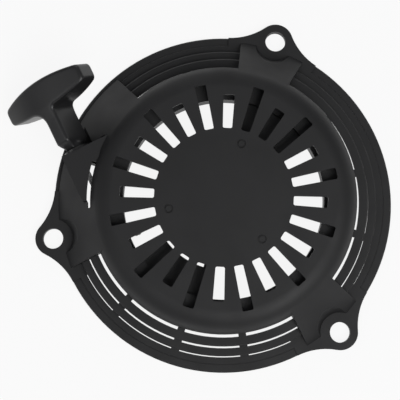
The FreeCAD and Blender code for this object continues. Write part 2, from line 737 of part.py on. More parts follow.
# ---------------------------------------------------------------- reel and what turns with it
def make_reel():
    body = new_body("reel")
    hub = sketch_upright(body, "hub_profile")
    boss_low = "cam_plate_low + cam_plate_thick + near_gap"
    polygon(hub, (
        (REEL_BORE_R, boss_low), (BOSS_R, boss_low), (BOSS_R, "hub_floor"),
        ("hub_r", "hub_floor"), ("hub_r", "hub_top"), (CHAMBER_R, "hub_top"),
        (CHAMBER_R, FLOOR_TOP), (BOSS_R, FLOOR_TOP), (BOSS_R, "hub_top"), (REEL_BORE_R, "hub_top"),
    ))
    revolve(body, hub)
    volume = must_change(body, 0, 1)
    wing = sketch_upright(body, "wing_profile", "wing_angle")
    box_outline(wing, WING_INNER_R, "groove_r - 1", "hub_floor", FLOOR_TOP)
    root = sketch_upright(body, "wing_root", "root_angle")
    box_outline(root, "hub_r - hub_wall / 2", WING_INNER_R + " + 1", "hub_floor", FLOOR_TOP)
    root_arm = revolve(body, root, angle="root_span", middle=True)
    wing_arm = revolve(body, wing, angle="wing_span", middle=True)
    around(body, "wings", [root_arm, wing_arm], 2)
    volume = must_change(body, volume, 1)
    low = "%s - %s / 2" % (GROOVE_MID, GROOVE_WIDE)
    high = "%s + %s / 2" % (GROOVE_MID, GROOVE_WIDE)
    rim = sketch_upright(body, "rim_profile")
    polygon(rim, (
        ("groove_r - reel_flange", low + " - reel_flange"), (REEL_R, low + " - reel_flange"),
        (REEL_R, low), ("groove_r", low), ("groove_r", high), (REEL_R, high),
        (REEL_R, high + " + reel_flange"), ("groove_r - reel_flange", high + " + reel_flange"),
    ))
    body.Tip = revolve(body, rim)
    volume = must_change(body, volume, 1)
    # holes for the pawl pins, through the floor of the hub
    pins = sketch_flat(body, "pin_holes", "hub_floor - 1")
    circle(pins, "pin_orbit_r", "0", "pin_r + fit_gap")
    circle(pins, "-pin_orbit_r", "0", "pin_r + fit_gap")
    body.Tip = pocket(body, pins, "1 + floor_thick / 2")
    volume = must_change(body, volume, -1)
    # hole through the rim for the end of the rope
    hole = sketch_flat(body, "rope_hole", GROOVE_MID, KNOT_ANGLE)
    box_outline(hole, "groove_r - 2 * reel_flange", "groove_r + reel_flange", "0", "rope_r + near_gap")
    body.Tip = revolve(body, hole, axis="H_Axis", cut=True)
    must_change(body, volume, -1)
    return body


def make_rope_winding():
    """Two layers of two turns, as one closed ring of their outer shape."""
    half = "rope_r * 2"
    outer = ROPE_LINE_R + " + rope_r"
    body = make_turned("rope_winding", (
        ring_profile("groove_r + fit_gap", outer, GROOVE_MID + " - " + half, GROOVE_MID + " + " + half),
    ))
    return body


def make_reel_rope_knot():
    """The stopper knot inside the rim, with the short end that runs out to the winding."""
    turn = math.radians(size["ear_angle"] + size["knot_turn"])
    ray = FreeCAD.Vector(math.cos(turn), math.sin(turn), 0)
    level = up * (size["rope_high"] - size["rope_r"] - size["fit_gap"])
    inner_wall = size["groove_r"] - size["reel_flange"]
    knot_at = inner_wall - size["knot_r"] - size["near_gap"]
    knot = doc.addObject("Part::Sphere", "reel_knot_ball")
    bind(knot, Radius="knot_r")
    knot.Placement = FreeCAD.Placement(ray * knot_at + level, FreeCAD.Rotation())
    tail = doc.addObject("Part::Cylinder", "reel_knot_tail")
    bind(tail, Radius="rope_r", Height="knot_r + near_gap + reel_flange - fit_gap")
    tail.Placement = FreeCAD.Placement(ray * knot_at + level, FreeCAD.Rotation(up, ray))
    joined = doc.addObject("Part::Fuse", "reel_rope_knot")
    joined.Label = "reel_rope_knot"
    joined.Base = knot
    joined.Tool = tail
    joined.Placement = FreeCAD.Placement()
    return joined


def make_spring_keeper():
    """A thin ring that drops into the mouth of the spring's chamber."""
    low = FLOOR_TOP + " + spring_high + 2 * near_gap"
    body = make_turned("spring_keeper", (
        ring_profile(BOSS_R + " + fit_gap", CHAMBER_R + " - fit_gap", low, low + " + keeper_thick"),
    ))
    return body


def make_pawl_pins():
    """Two plain pins pressed up into the hub floor, one for each pawl."""
    pins = []
    for side in range(PAWL_COUNT):
        pin = doc.addObject("Part::Cylinder", "pawl_pin_%d" % side)
        bind(pin, Radius="pin_r", Height="hub_floor + floor_thick / 2 - fit_gap - pawl_low + near_gap")
        turn = math.pi * side
        place = FreeCAD.Vector(math.cos(turn), math.sin(turn), 0) * size["pin_orbit_r"]
        place.z = size["pawl_low"] - size["near_gap"]
        pin.Placement = FreeCAD.Placement(place, FreeCAD.Rotation())
        pins.append(pin)
    group = doc.addObject("Part::Compound", "pawl_pins")
    group.Label = "pawl_pins"
    group.Links = pins
    group.Placement = FreeCAD.Placement()
    return group


def make_pawl(label, side):
    """A steel pawl: an eye on its pin, and a body that trails to a narrow nose."""
    body = new_body(label)
    plate = sketch_flat(body, label + "_plate", "0")
    polygon(plate, (
        ("-pawl_eye_r * 0.6", "0"), ("-pawl_nose_r * 0.4", "-pawl_long"),
        ("pawl_nose_r * 1.4", "-pawl_long + pawl_nose_r * 0.6"), ("pawl_eye_r * 0.9", "-pawl_eye_r * 0.2"),
    ))
    body.Tip = pad(body, plate, "pawl_thick")
    volume = must_change(body, 0, 1)
    eye = sketch_flat(body, label + "_eye", "0")
    circle(eye, "0", "0", "pawl_eye_r")
    body.Tip = pad(body, eye, "pawl_thick")
    volume = must_change(body, volume, 1)
    bore = sketch_flat(body, label + "_bore", "-1")
    circle(bore, "0", "0", "pin_r + fit_gap")
    body.Tip = pocket(body, bore, "pawl_thick + 2")
    must_change(body, volume, -1)
    turn = math.pi * side
    place = FreeCAD.Vector(math.cos(turn), math.sin(turn), 0) * size["pin_orbit_r"]
    place.z = size["pawl_low"]
    body.Placement = FreeCAD.Placement(place, FreeCAD.Rotation(up, 180.0 * side))
    return body


def make_pawl_spring(label, side):
    """A coil of light wire round the pin above its pawl, with a leg along the hub floor."""
    level = "pawl_low + pawl_thick + 1.3 * pawl_wire_r"
    coil_r = "(pin_r + near_gap + pawl_wire_r)"
    coil = doc.addObject("Part::Torus", label + "_coil")
    bind(coil, Radius1=coil_r, Radius2="pawl_wire_r")
    coil.setExpression("Placement.Base.x", formula("pin_orbit_r"))
    coil.setExpression("Placement.Base.z", formula(level))
    leg = doc.addObject("Part::Cylinder", label + "_leg")
    bind(leg, Radius="pawl_wire_r", Height="pin_orbit_r - %s - near_gap - %s" % (coil_r, BOSS_R))
    leg.Placement = FreeCAD.Placement(FreeCAD.Vector(), FreeCAD.Rotation(up, FreeCAD.Vector(-1, 0, 0)))
    leg.setExpression("Placement.Base.x", formula("pin_orbit_r - " + coil_r))
    leg.setExpression("Placement.Base.z", formula(level))
    spring = doc.addObject("Part::Fuse", label)
    spring.Label = label
    spring.Base = coil
    spring.Tool = leg
    spring.Placement = FreeCAD.Placement(FreeCAD.Vector(), FreeCAD.Rotation(up, 180.0 * side))
    return spring


def make_ratchet_guide():
    """The plate round the post's end, with an arm and a cam stud for each pawl."""
    body = new_body("ratchet_guide")
    plate = sketch_flat(body, "cam_plate", "cam_plate_low")
    circle(plate, "0", "0", "cam_plate_r")
    circle(plate, "0", "0", "post_r + near_gap")
    body.Tip = pad(body, plate, "cam_plate_thick")
    volume = must_change(body, 0, 1)
    arm = sketch_flat(body, "cam_arm", "cam_plate_low", "cam_angle")
    box_outline(arm, "cam_plate_r - cam_r", "cam_orbit_r", "-cam_r", "cam_r")
    stud = sketch_flat(body, "cam_stud", "cam_plate_low", "cam_angle")
    circle(stud, "cam_orbit_r", "0", "cam_r")
    arm_pad = pad(body, arm, "cam_plate_thick")
    stud_pad = pad(body, stud, "pawl_low + pawl_thick - cam_plate_low")
    around(body, "cams", [arm_pad, stud_pad], PAWL_COUNT)
    must_change(body, volume, 1)
    return body


def make_friction_spring():
    """A split ring of wire that grips the washer's edge and drags on the plate above it."""
    ring = doc.addObject("Part::Torus", "friction_ring")
    bind(ring, Radius1="washer_r + near_gap + drag_wire_r", Radius2="drag_wire_r", Angle3="320")
    level = size["cam_plate_low"] - size["drag_wire_r"] - 0.1
    ring.Placement = FreeCAD.Placement(up * level, FreeCAD.Rotation())
    leg = doc.addObject("Part::Cylinder", "friction_leg")
    bind(leg, Radius="drag_wire_r", Height="cam_orbit_r - washer_r - near_gap")
    leg.Placement = FreeCAD.Placement(
        FreeCAD.Vector(size["washer_r"] + size["near_gap"] + size["drag_wire_r"], 0, level),
        FreeCAD.Rotation(up, FreeCAD.Vector(1, 0, 0)))
    spring = doc.addObject("Part::Fuse", "friction_spring")
    spring.Label = "friction_spring"
    spring.Base = ring
    spring.Tool = leg
    spring.Placement = FreeCAD.Placement()
    return spring


# ---------------------------------------------------------------- grip and rope
def make_grip():
    """The T grip: its own z runs up the stem from the nozzle, and its x along the crossbar."""
    body = new_body("grip")
    bar = sketch_flat(body, "bar_plan", "bar_start")
    polygon(bar, (
        ("-bar_half", "-bar_end_deep / 2"), ("-bar_half * 0.45", "-bar_deep * 0.46"),
        ("0", "-bar_deep / 2"), ("bar_half * 0.45", "-bar_deep * 0.46"),
        ("bar_half", "-bar_end_deep / 2"), ("bar_half", "bar_end_deep / 2"),
        ("bar_half * 0.45", "bar_deep * 0.46"), ("0", "bar_deep / 2"),
        ("-bar_half * 0.45", "bar_deep * 0.46"), ("-bar_half", "bar_end_deep / 2"),
    ))
    body.Tip = pad(body, bar, "grip_long - bar_start")
    volume = must_change(body, 0, 1)
    # the crossbar's top is arched, and its underside rises to the ends
    arch = sketch_upright(body, "bar_arch")
    polygon(arch, (
        ("-bar_half - 1", "bar_end_top"), ("-bar_half * 0.5", "grip_long * 0.75 + bar_end_top * 0.25"),
        ("0", "grip_long"), ("bar_half * 0.5", "grip_long * 0.75 + bar_end_top * 0.25"),
        ("bar_half + 1", "bar_end_top"), ("bar_half + 1", "grip_long + 1"),
        ("-bar_half - 1", "grip_long + 1"),
    ))
    body.Tip = cut_across(body, arch, "2 * bar_deep")
    volume = must_change(body, volume, -1)
    for side, name in ((-1, "bar_under_left"), (1, "bar_under_right")):
        under = sketch_upright(body, name)
        inner = "%d * (stem_wide / 2 + 4)" % side
        outer = "%d * (bar_half + 1)" % side
        polygon(under, ((inner, "bar_start - 1"), (inner, "bar_start"), (outer, "bar_end_start"),
                        (outer, "bar_start - 1")))
        body.Tip = cut_across(body, under, "2 * bar_deep")
        volume = must_change(body, volume, -1)
    round_bar(body)
    volume = must_change(body, 0, 1)
    stem = sketch_flat(body, "stem_plan", "nozzle_long")
    polygon(stem, (
        ("-stem_wide * 0.21", "-stem_deep / 2"), ("stem_wide * 0.21", "-stem_deep / 2"),
        ("stem_wide / 2", "-stem_deep * 0.3"), ("stem_wide / 2", "stem_deep * 0.3"),
        ("stem_wide * 0.21", "stem_deep / 2"), ("-stem_wide * 0.21", "stem_deep / 2"),
        ("-stem_wide / 2", "stem_deep * 0.3"), ("-stem_wide / 2", "-stem_deep * 0.3"),
    ))
    body.Tip = pad(body, stem, "bar_start - nozzle_long + 4")
    volume = must_change(body, volume, 1)
    flare = sketch_upright(body, "stem_flare")
    polygon(flare, (
        ("-stem_wide / 2", "bar_start - 6"), ("stem_wide / 2", "bar_start - 6"),
        ("stem_wide / 2 + 5", "bar_start + 1"), ("-stem_wide / 2 - 5", "bar_start + 1"),
    ))
    body.Tip = pad(body, flare, "stem_deep * 0.6", middle=True)
    volume = must_change(body, volume, 1)
    nozzle = sketch_upright(body, "nozzle_profile")
    polygon(nozzle, (("0", "0"), ("nozzle_r - 0.8", "0"), ("nozzle_r", "1"),
                     ("nozzle_r", "nozzle_long + 1"), ("0", "nozzle_long + 1")))
    body.Tip = revolve(body, nozzle)
    volume = must_change(body, volume, 1)
    hollow = sketch_flat(body, "knot_cavity", "grip_long - cavity_deep")
    circle(hollow, "0", "0", "cavity_r")
    body.Tip = pocket(body, hollow, "cavity_deep + 1")
    volume = must_change(body, volume, -1)
    bore = sketch_flat(body, "rope_bore", "-1")
    circle(bore, "0", "0", "rope_r + near_gap")
    body.Tip = pocket(body, bore, "grip_long")
    must_change(body, volume, -1)
    body.Placement = rope_frame(grip_start, size["grip_roll"])
    return body


def cut_across(body, sketch, long):
    """Cuts to both sides of an upright sketch."""
    feature = body.newObject("PartDesign::Pocket", sketch.Name + "_cut")
    feature.Profile = sketch
    feature.Midplane = True
    bind(feature, Length=long)
    return feature


def round_bar(body):
    """Rounds the upright edges at the crossbar's square ends."""
    half = size["bar_half"]

    def at_end(edge):
        return is_upright(edge) and abs(abs(edge.Vertexes[0].X) - half) < 0.01

    soften(body, "bar_edges", "grip_edge", at_end)


def make_grip_insert():
    body = make_turned("grip_insert", (
        ring_profile("rope_r + near_gap", "cavity_r - fit_gap", "0", "insert_thick"),
    ))
    body.Placement = rope_frame(grip_start + size["grip_long"] - size["cavity_deep"])
    return body


def make_grip_rope_knot():
    """The stopper knot in the cavity, on top of the insert."""
    seat = grip_start + size["grip_long"] - size["cavity_deep"] + size["insert_thick"]
    knot = doc.addObject("Part::Sphere", "grip_rope_knot")
    knot.Label = "grip_rope_knot"
    bind(knot, Radius="knot_r")
    knot.Placement = rope_frame(seat + size["near_gap"] + size["knot_r"])
    return knot


def make_rope_run():
    """The straight rope from just clear of the winding, through the duct, to the knot."""
    seat = grip_start + size["grip_long"] - size["cavity_deep"] + size["insert_thick"]
    outer = rope_line_r + size["rope_r"] + size["near_gap"]
    inner = rope_line_r - size["rope_r"]
    start = math.sqrt(outer ** 2 - inner ** 2)
    run = doc.addObject("Part::Cylinder", "rope_run")
    run.Label = "rope_run"
    bind(run, Radius="rope_r")
    run.Height = seat + size["near_gap"] / 2 - start
    run.Placement = rope_frame(start)
    return run


# ---------------------------------------------------------------- the whole starter
def make_all():
    return [
        make_cover(),
        make_rope_guide(),
        make_spindle_sleeve(),
        make_center_screw(),
        make_thrust_washer(),
        make_recoil_spring(),
        make_reel(),
        make_rope_winding(),
        make_reel_rope_knot(),
        make_spring_keeper(),
        make_pawl_pins(),
        make_pawl_spring("pawl_spring_a", 0),
        make_pawl_spring("pawl_spring_b", 1),
        make_pawl("pawl_a", 0),
        make_pawl("pawl_b", 1),
        make_ratchet_guide(),
        make_friction_spring(),
        make_grip(),
        make_grip_insert(),
        make_grip_rope_knot(),
        make_rope_run(),
    ]


def check(parts):
    for item in doc.Objects:
        if "Invalid" in item.State or "Error" in item.State:
            raise ValueError("%s is %s" % (item.Name, item.State))
    for part in parts:
        if part.Shape.isNull() or not part.Shape.isValid():
            raise ValueError("%s has no sound shape" % part.Label)


def write(parts):
    os.makedirs("parts", exist_ok=True)
    for part in parts:
        part.Shape.exportStep("parts/%s.step" % part.Label)
        box = part.Shape.BoundBox
        print("%-16s %2d solids %9.1f mm3  x %6.1f..%6.1f  y %6.1f..%6.1f  z %5.1f..%5.1f" % (
            part.Label, len(part.Shape.Solids), part.Shape.Volume,
            box.XMin, box.XMax, box.YMin, box.YMax, box.ZMin, box.ZMax))


all_parts = make_all()
doc.recompute()
check(all_parts)
write(all_parts)
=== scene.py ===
# %% [markdown]
# # A recoil starter, dressed around its CAD model
#
# The starter is the black moulded cover that bolts on top of a small mower engine. A cord
# runs from a reel under the cover, out through a duct, to a T grip. The CAD model holds every
# piece at its real size. This lesson loads it, gives each piece the finish of the real one,
# and builds the pieces that CAD leaves plain: the moulded grip, the braided cord with its
# turns on the reel, and the two knots that hold its ends.

# %% Load the frame
import json
import math

import bpy
import numpy as np
from mathutils import Matrix, Vector


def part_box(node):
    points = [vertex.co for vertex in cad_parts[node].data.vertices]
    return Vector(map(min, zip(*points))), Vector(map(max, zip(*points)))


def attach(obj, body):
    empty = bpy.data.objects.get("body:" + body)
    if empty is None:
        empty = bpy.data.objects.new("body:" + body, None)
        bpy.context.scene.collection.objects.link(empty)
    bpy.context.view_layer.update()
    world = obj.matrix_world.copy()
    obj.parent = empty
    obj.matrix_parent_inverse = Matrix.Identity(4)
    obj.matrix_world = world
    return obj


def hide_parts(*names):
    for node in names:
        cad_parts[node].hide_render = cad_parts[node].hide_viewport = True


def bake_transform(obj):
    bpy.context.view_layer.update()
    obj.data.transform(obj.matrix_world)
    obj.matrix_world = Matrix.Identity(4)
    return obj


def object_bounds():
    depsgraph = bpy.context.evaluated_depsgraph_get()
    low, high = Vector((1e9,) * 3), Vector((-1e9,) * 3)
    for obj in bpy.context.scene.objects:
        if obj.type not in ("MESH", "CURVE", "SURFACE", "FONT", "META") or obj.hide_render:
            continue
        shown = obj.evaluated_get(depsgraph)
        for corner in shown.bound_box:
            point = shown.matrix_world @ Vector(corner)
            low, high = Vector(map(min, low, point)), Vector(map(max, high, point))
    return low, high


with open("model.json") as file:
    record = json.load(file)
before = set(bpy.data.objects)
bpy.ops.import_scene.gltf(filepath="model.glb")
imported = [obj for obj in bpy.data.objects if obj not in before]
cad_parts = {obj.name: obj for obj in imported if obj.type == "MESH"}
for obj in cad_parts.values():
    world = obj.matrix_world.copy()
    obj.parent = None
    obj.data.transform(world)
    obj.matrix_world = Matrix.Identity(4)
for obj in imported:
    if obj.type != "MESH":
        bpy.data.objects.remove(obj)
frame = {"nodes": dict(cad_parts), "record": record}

cad_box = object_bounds()
nodes = frame["nodes"]
joints = {joint["name"]: joint for joint in frame["record"]["behaviour"]["joints"]}
MM = 0.001

# %% [markdown]
# ## The camera
#
# The starter lies on its bolting face and is seen from almost straight above, from a little
# below its middle, with a long lens so that the round cover keeps its true outline. Aiming a
# camera at a point is clearer than typing angles, so its rotation is worked out from the line
# between the two places.

# %% Place the camera
CAMERA_AT = Vector((-0.0134, -0.0786, 0.7189))
CAMERA_AIM = Vector((-0.0135, 0.0022, 0.0))
LENS_MM = 109.5

camera_data = bpy.data.cameras.new("view")
camera_data.lens = LENS_MM
camera_data.sensor_width = 36.0
camera_data.clip_start = 0.01
camera = bpy.data.objects.new("view", camera_data)
camera.location = CAMERA_AT
camera.rotation_euler = (CAMERA_AIM - CAMERA_AT).to_track_quat("-Z", "Y").to_euler()
bpy.context.scene.collection.objects.link(camera)
bpy.context.scene.camera = camera
bpy.context.scene.view_settings.view_transform = "Standard"
print("camera", round((CAMERA_AIM - CAMERA_AT).length, 3), "m from its aim")

# %% [markdown]
# ## A bright table
#
# The starter lies on a plain white table. A black object needs a bright surround to read
# well, but raising the lamps would grey the plastic. So the table glows for the camera and for
# mirrored or passed-through rays alone, and adds no diffuse light. A share of ordinary white
# paint stays in the mix, and keeps the object's shadow.

# %% Build the table
TABLE_HALF = 3.0
TABLE_GAP_MM = 0.2
PAINT_SHARE = 0.1
PAINT_WHITE = 0.82


def new_material(name):
    """An empty node material: its tree, and the node that its surface goes into."""
    material = bpy.data.materials.new(name)
    material.use_nodes = True
    tree = material.node_tree
    tree.nodes.clear()
    output = tree.nodes.new("ShaderNodeOutputMaterial")
    return material, tree, output


def table_paint():
    material, tree, output = new_material("white_table")
    paint = tree.nodes.new("ShaderNodeBsdfDiffuse")
    paint.inputs["Color"].default_value = (PAINT_WHITE, PAINT_WHITE, PAINT_WHITE, 1)
    glow = tree.nodes.new("ShaderNodeEmission")
    rays = tree.nodes.new("ShaderNodeLightPath")
    seen = rays.outputs["Is Camera Ray"]
    for kind in ("Is Glossy Ray", "Is Transmission Ray"):
        either = tree.nodes.new("ShaderNodeMath")
        either.operation = "MAXIMUM"
        tree.links.new(seen, either.inputs[0])
        tree.links.new(rays.outputs[kind], either.inputs[1])
        seen = either.outputs[0]
    share = tree.nodes.new("ShaderNodeMath")
    share.operation = "MULTIPLY"
    share.inputs[1].default_value = 1 - PAINT_SHARE
    mix = tree.nodes.new("ShaderNodeMixShader")
    tree.links.new(seen, share.inputs[0])
    tree.links.new(share.outputs[0], mix.inputs["Fac"])
    tree.links.new(paint.outputs[0], mix.inputs[1])
    tree.links.new(glow.outputs[0], mix.inputs[2])
    tree.links.new(mix.outputs[0], output.inputs["Surface"])
    return material


table_mesh = bpy.data.meshes.new("table")
table_corners = [(-TABLE_HALF, -TABLE_HALF, 0), (TABLE_HALF, -TABLE_HALF, 0),
                 (TABLE_HALF, TABLE_HALF, 0), (-TABLE_HALF, TABLE_HALF, 0)]
table_mesh.from_pydata(table_corners, [], [(0, 1, 2, 3)])
table = bpy.data.objects.new("table", table_mesh)
table.location.z = cad_box[0][2] - TABLE_GAP_MM * MM
table.data.materials.append(table_paint())
bpy.context.scene.collection.objects.link(table)
print("table at", round(table.location.z * 1000, 2), "mm")

# %% [markdown]
# ## Soft studio light
#
# Black plastic shows its shape by what it mirrors. A lamp straight above would put one flat
# grey over the whole face. A wide panel high on the lower right is mirrored by the lower
# right of the face only, so the face falls off softly to the upper left. Two weaker panels, on
# the left and at the far side, light the slopes that are turned away from it. The world is a
# dim grey for the shadows.

# %% Hang the lamps
WORLD_LEVEL = 0.16
WORLD_COLOUR = (0.94, 0.95, 1.0, 1)
LAMPS = (
    # name, place, size, watts
    ("key_panel", (0.4, -0.55, 1.1), 0.85, 9.0),
    ("left_panel", (-1.1, -0.5, 1.0), 0.9, 2.5),
    ("far_panel", (-0.1, 1.3, 0.8), 0.8, 2.5),
)

world = bpy.data.worlds.new("studio")
world.use_nodes = True
world.node_tree.nodes["Background"].inputs["Color"].default_value = WORLD_COLOUR
world.node_tree.nodes["Background"].inputs["Strength"].default_value = WORLD_LEVEL
bpy.context.scene.world = world
for name, place, lamp_size, watts in LAMPS:
    lamp = bpy.data.lights.new(name, "AREA")
    lamp.size = lamp_size
    lamp.energy = watts
    holder = bpy.data.objects.new(name, lamp)
    holder.location = place
    holder.rotation_euler = (-Vector(place)).to_track_quat("-Z", "Y").to_euler()
    bpy.context.scene.collection.objects.link(holder)
print(len(LAMPS), "lamps")

# %% [markdown]
# ## Small bricks for the materials
#
# Every finish here is worked out by nodes, because an image texture would need unwrapping and
# would lock the detail to one size. Five short helpers keep the node code readable. They add
# noise in the object's own space, stretch a value to a new range, mix two colours by a value,
# turn a height into a bump, and join all of it to a shader. The values of noise crowd round
# 0.5, so a narrow span about it is what gets stretched.

# %% Define the bricks
NOISE_SPAN = (0.3, 0.7)


def noise(tree, size_mm, detail=3.0, stretch=(1, 1, 1)):
    """Noise whose features are about size_mm across, longer along an axis where stretch is small."""
    place = tree.nodes.new("ShaderNodeTexCoord")
    scale = tree.nodes.new("ShaderNodeMapping")
    scale.inputs["Scale"].default_value = [factor / (size_mm * MM) for factor in stretch]
    texture = tree.nodes.new("ShaderNodeTexNoise")
    texture.inputs["Scale"].default_value = 1.0
    texture.inputs["Detail"].default_value = detail
    tree.links.new(place.outputs["Object"], scale.inputs["Vector"])
    tree.links.new(scale.outputs["Vector"], texture.inputs["Vector"])
    return texture.outputs["Fac"]


def stretch_range(tree, value, low, high, new_low, new_high):
    """Maps the values between low and high to the new range."""
    node = tree.nodes.new("ShaderNodeMapRange")
    limits = {"From Min": low, "From Max": high, "To Min": new_low, "To Max": new_high}
    for name, number in limits.items():
        node.inputs[name].default_value = number
    tree.links.new(value, node.inputs["Value"])
    return node.outputs["Result"]


def blend_colours(tree, value, first, second):
    """The first colour where the value is 0 and the second where it is 1."""
    node = tree.nodes.new("ShaderNodeMix")
    node.data_type = "RGBA"
    tree.links.new(value, node.inputs["Factor"])
    for socket, colour in ((node.inputs[6], first), (node.inputs[7], second)):
        if isinstance(colour, bpy.types.NodeSocket):
            tree.links.new(colour, socket)
        else:
            socket.default_value = (*colour, 1)
    return node.outputs[2]


def raise_surface(tree, height, depth_mm, strength=0.6):
    """A bump from a height value."""
    node = tree.nodes.new("ShaderNodeBump")
    node.inputs["Strength"].default_value = strength
    node.inputs["Distance"].default_value = depth_mm * MM
    tree.links.new(height, node.inputs["Height"])
    return node.outputs["Normal"]


def finish_surface(tree, output, colour, roughness, normal, metallic=0.0):
    """The shader itself, with its three changing values linked and the rest set on its sockets."""
    surface = tree.nodes.new("ShaderNodeBsdfPrincipled")
    surface.inputs["Metallic"].default_value = metallic
    tree.links.new(colour, surface.inputs["Base Color"])
    tree.links.new(roughness, surface.inputs["Roughness"])
    tree.links.new(normal, surface.inputs["Normal"])
    tree.links.new(surface.outputs[0], output.inputs["Surface"])
    return surface


print("bricks ready")

# %% [markdown]
# ## Moulded plastic
#
# The steel mould was finished with a fine spark texture, so the plastic is satin: it mirrors a
# lamp as a wide soft glow. Where the plastic flowed its gloss changes a little. Convex borders
# are painted lighter: partly as handling wear, and on the grip mostly as a painted highlight
# where its rounded edges would catch the lamps. Pointiness, which tells how convex the mesh is,
# finds the borders. It is held by the mesh's points, so it needs a dense mesh, such as the
# grip's. Across the cover's large flat triangles it would smear into wedges, so the cover has
# no lighter borders.

# %% Make plastics
FLOW_MM = 36.0
GLOSS_MM = 22.0
GRAIN_DEEP_MM = 0.006
LIGHTER = 1.18
DARKER = 0.84
CONVEX_SPAN = (0.52, 0.62)
WEAR_AND_HIGHLIGHT_GAIN = 2.2
WEAR_AND_HIGHLIGHT_LIFT = 0.02


def plastic(name, colour, roughness, grain_mm=0.35, border_wear_and_highlight=0.25):
    material, tree, output = new_material(name)
    flow = noise(tree, FLOW_MM, detail=4.0)
    lighter = [part * LIGHTER for part in colour]
    darker = [part * DARKER for part in colour]
    shade = blend_colours(tree, stretch_range(tree, flow, *NOISE_SPAN, 0, 1), darker, lighter)
    # Convex borders are painted lighter: partly handling wear, partly a painted highlight where the
    # edges would catch the lamps.
    convex = tree.nodes.new("ShaderNodeNewGeometry").outputs["Pointiness"]
    wear_and_highlight_share = stretch_range(tree, convex, *CONVEX_SPAN, 0.0, border_wear_and_highlight)
    shade = blend_colours(tree, wear_and_highlight_share, shade, [part * WEAR_AND_HIGHLIGHT_GAIN + WEAR_AND_HIGHLIGHT_LIFT for part in colour])
    gloss = stretch_range(tree, noise(tree, GLOSS_MM), *NOISE_SPAN, roughness - 0.05, roughness + 0.07)
    bumps = raise_surface(tree, noise(tree, grain_mm, detail=2.0), GRAIN_DEEP_MM)
    finish_surface(tree, output, shade, gloss, bumps)
    return material


cover_plastic = plastic("cover_plastic", (0.011, 0.011, 0.0115), 0.6, border_wear_and_highlight=0.0)
reel_plastic = plastic("reel_plastic", (0.011, 0.011, 0.0115), 0.5)
# The grip's bright borders are mostly a painted highlight along its rounded edges.
grip_plastic = plastic("grip_plastic", (0.02, 0.02, 0.0205), 0.36, grain_mm=0.5, border_wear_and_highlight=0.9)
guide_plastic = plastic("guide_plastic", (0.016, 0.016, 0.016), 0.3, border_wear_and_highlight=0.1)
cam_plastic = plastic("cam_plastic", (0.045, 0.045, 0.05), 0.45)
print("5 plastics")

# %% [markdown]
# ## Metal
#
# The metal pieces differ in what was done to them. Zinc plate has soft patches where its
# crystals lie differently, spring steel is blued by its heat treatment, and the hardened pawls
# are darker with short scratches along their length. One function covers all three: two
# tones, the size of the patches that mix them, and how far the scratches are drawn out.

# %% Make metals
SCRATCH_MM = 0.4
SCRATCH_DEEP_MM = 0.012


def metal(name, tone, other_tone, roughness, patch_mm, stretch):
    material, tree, output = new_material(name)
    patches = stretch_range(tree, noise(tree, patch_mm), 0.35, 0.65, 0, 1)
    scratches = noise(tree, SCRATCH_MM, detail=5.0, stretch=stretch)
    gloss = stretch_range(tree, scratches, *NOISE_SPAN, roughness - 0.08, roughness + 0.14)
    bumps = raise_surface(tree, scratches, SCRATCH_DEEP_MM, strength=0.35)
    finish_surface(tree, output, blend_colours(tree, patches, tone, other_tone), gloss, bumps, 1.0)
    return material


zinc = metal("zinc_steel", (0.62, 0.62, 0.6), (0.5, 0.51, 0.52), 0.3, 3.0, (1, 1, 1))
blued = metal("spring_steel", (0.3, 0.32, 0.37), (0.4, 0.37, 0.33), 0.28, 9.0, (0.1, 0.1, 1))
hardened = metal("pawl_steel", (0.4, 0.4, 0.41), (0.29, 0.29, 0.3), 0.38, 2.0, (1, 0.15, 1))
print("3 metals")

# %% [markdown]
# ## Braided cord
#
# Strands run round the cord both ways and cross in diamonds. The cord's mesh, made below,
# carries a map with its length in u and its girth in v, so two sines across the map give the
# diamonds wherever the cord goes. Loose fibres scatter light at grazing angles, so the shader
# gets a little sheen.

# %% Make cord fibre
STRANDS_ROUND = 4
BRAID_PITCH_MM = 4.2
BRAID_DEEP_MM = 0.25
FLUFF_MM = 0.25


def crossing_wave(tree, uv, side):
    """A sine over the map that follows one set of the strands."""
    direction = tree.nodes.new("ShaderNodeVectorMath")
    direction.operation = "DOT_PRODUCT"
    direction.inputs[1].default_value = (2 * math.pi, side * 2 * math.pi * STRANDS_ROUND, 0)
    wave = tree.nodes.new("ShaderNodeMath")
    wave.operation = "SINE"
    tree.links.new(uv, direction.inputs[0])
    tree.links.new(direction.outputs["Value"], wave.inputs[0])
    return wave.outputs[0]


def cord_fibre(name, light, dark):
    material, tree, output = new_material(name)
    uv = tree.nodes.new("ShaderNodeUVMap").outputs["UV"]
    braid = tree.nodes.new("ShaderNodeMath")
    braid.operation = "MULTIPLY"
    tree.links.new(crossing_wave(tree, uv, 1), braid.inputs[0])
    tree.links.new(crossing_wave(tree, uv, -1), braid.inputs[1])
    # The strands' height also sets their colour: the hollows between the strands are painted darker,
    # as painted shade.
    strand = stretch_range(tree, braid.outputs[0], -0.6, 0.6, 0, 1)
    shade = blend_colours(tree, strand, dark, light)
    fluff = noise(tree, FLUFF_MM, detail=4.0)
    shade = blend_colours(tree, stretch_range(tree, fluff, 0.45, 0.75, 0.0, 0.5), shade, dark)
    rough = stretch_range(tree, fluff, *NOISE_SPAN, 0.75, 0.95)
    bumps = raise_surface(tree, strand, BRAID_DEEP_MM, strength=0.8)
    surface = finish_surface(tree, output, shade, rough, bumps)
    surface.inputs["Sheen Weight"].default_value = 0.3
    return material


fibre = cord_fibre("rope_fibre", (0.5, 0.5, 0.49), (0.26, 0.26, 0.26))
print("cord fibre,", STRANDS_ROUND, "strands each way")

# %% [markdown]
# ## Put the finishes on the CAD pieces
#
# Each CAD node gets its finish, and most get a small bevel modifier that rounds their sharp
# borders, because light never meets a perfectly sharp edge on a moulded or pressed piece. The
# cover's own steps already carry their bevels in CAD.

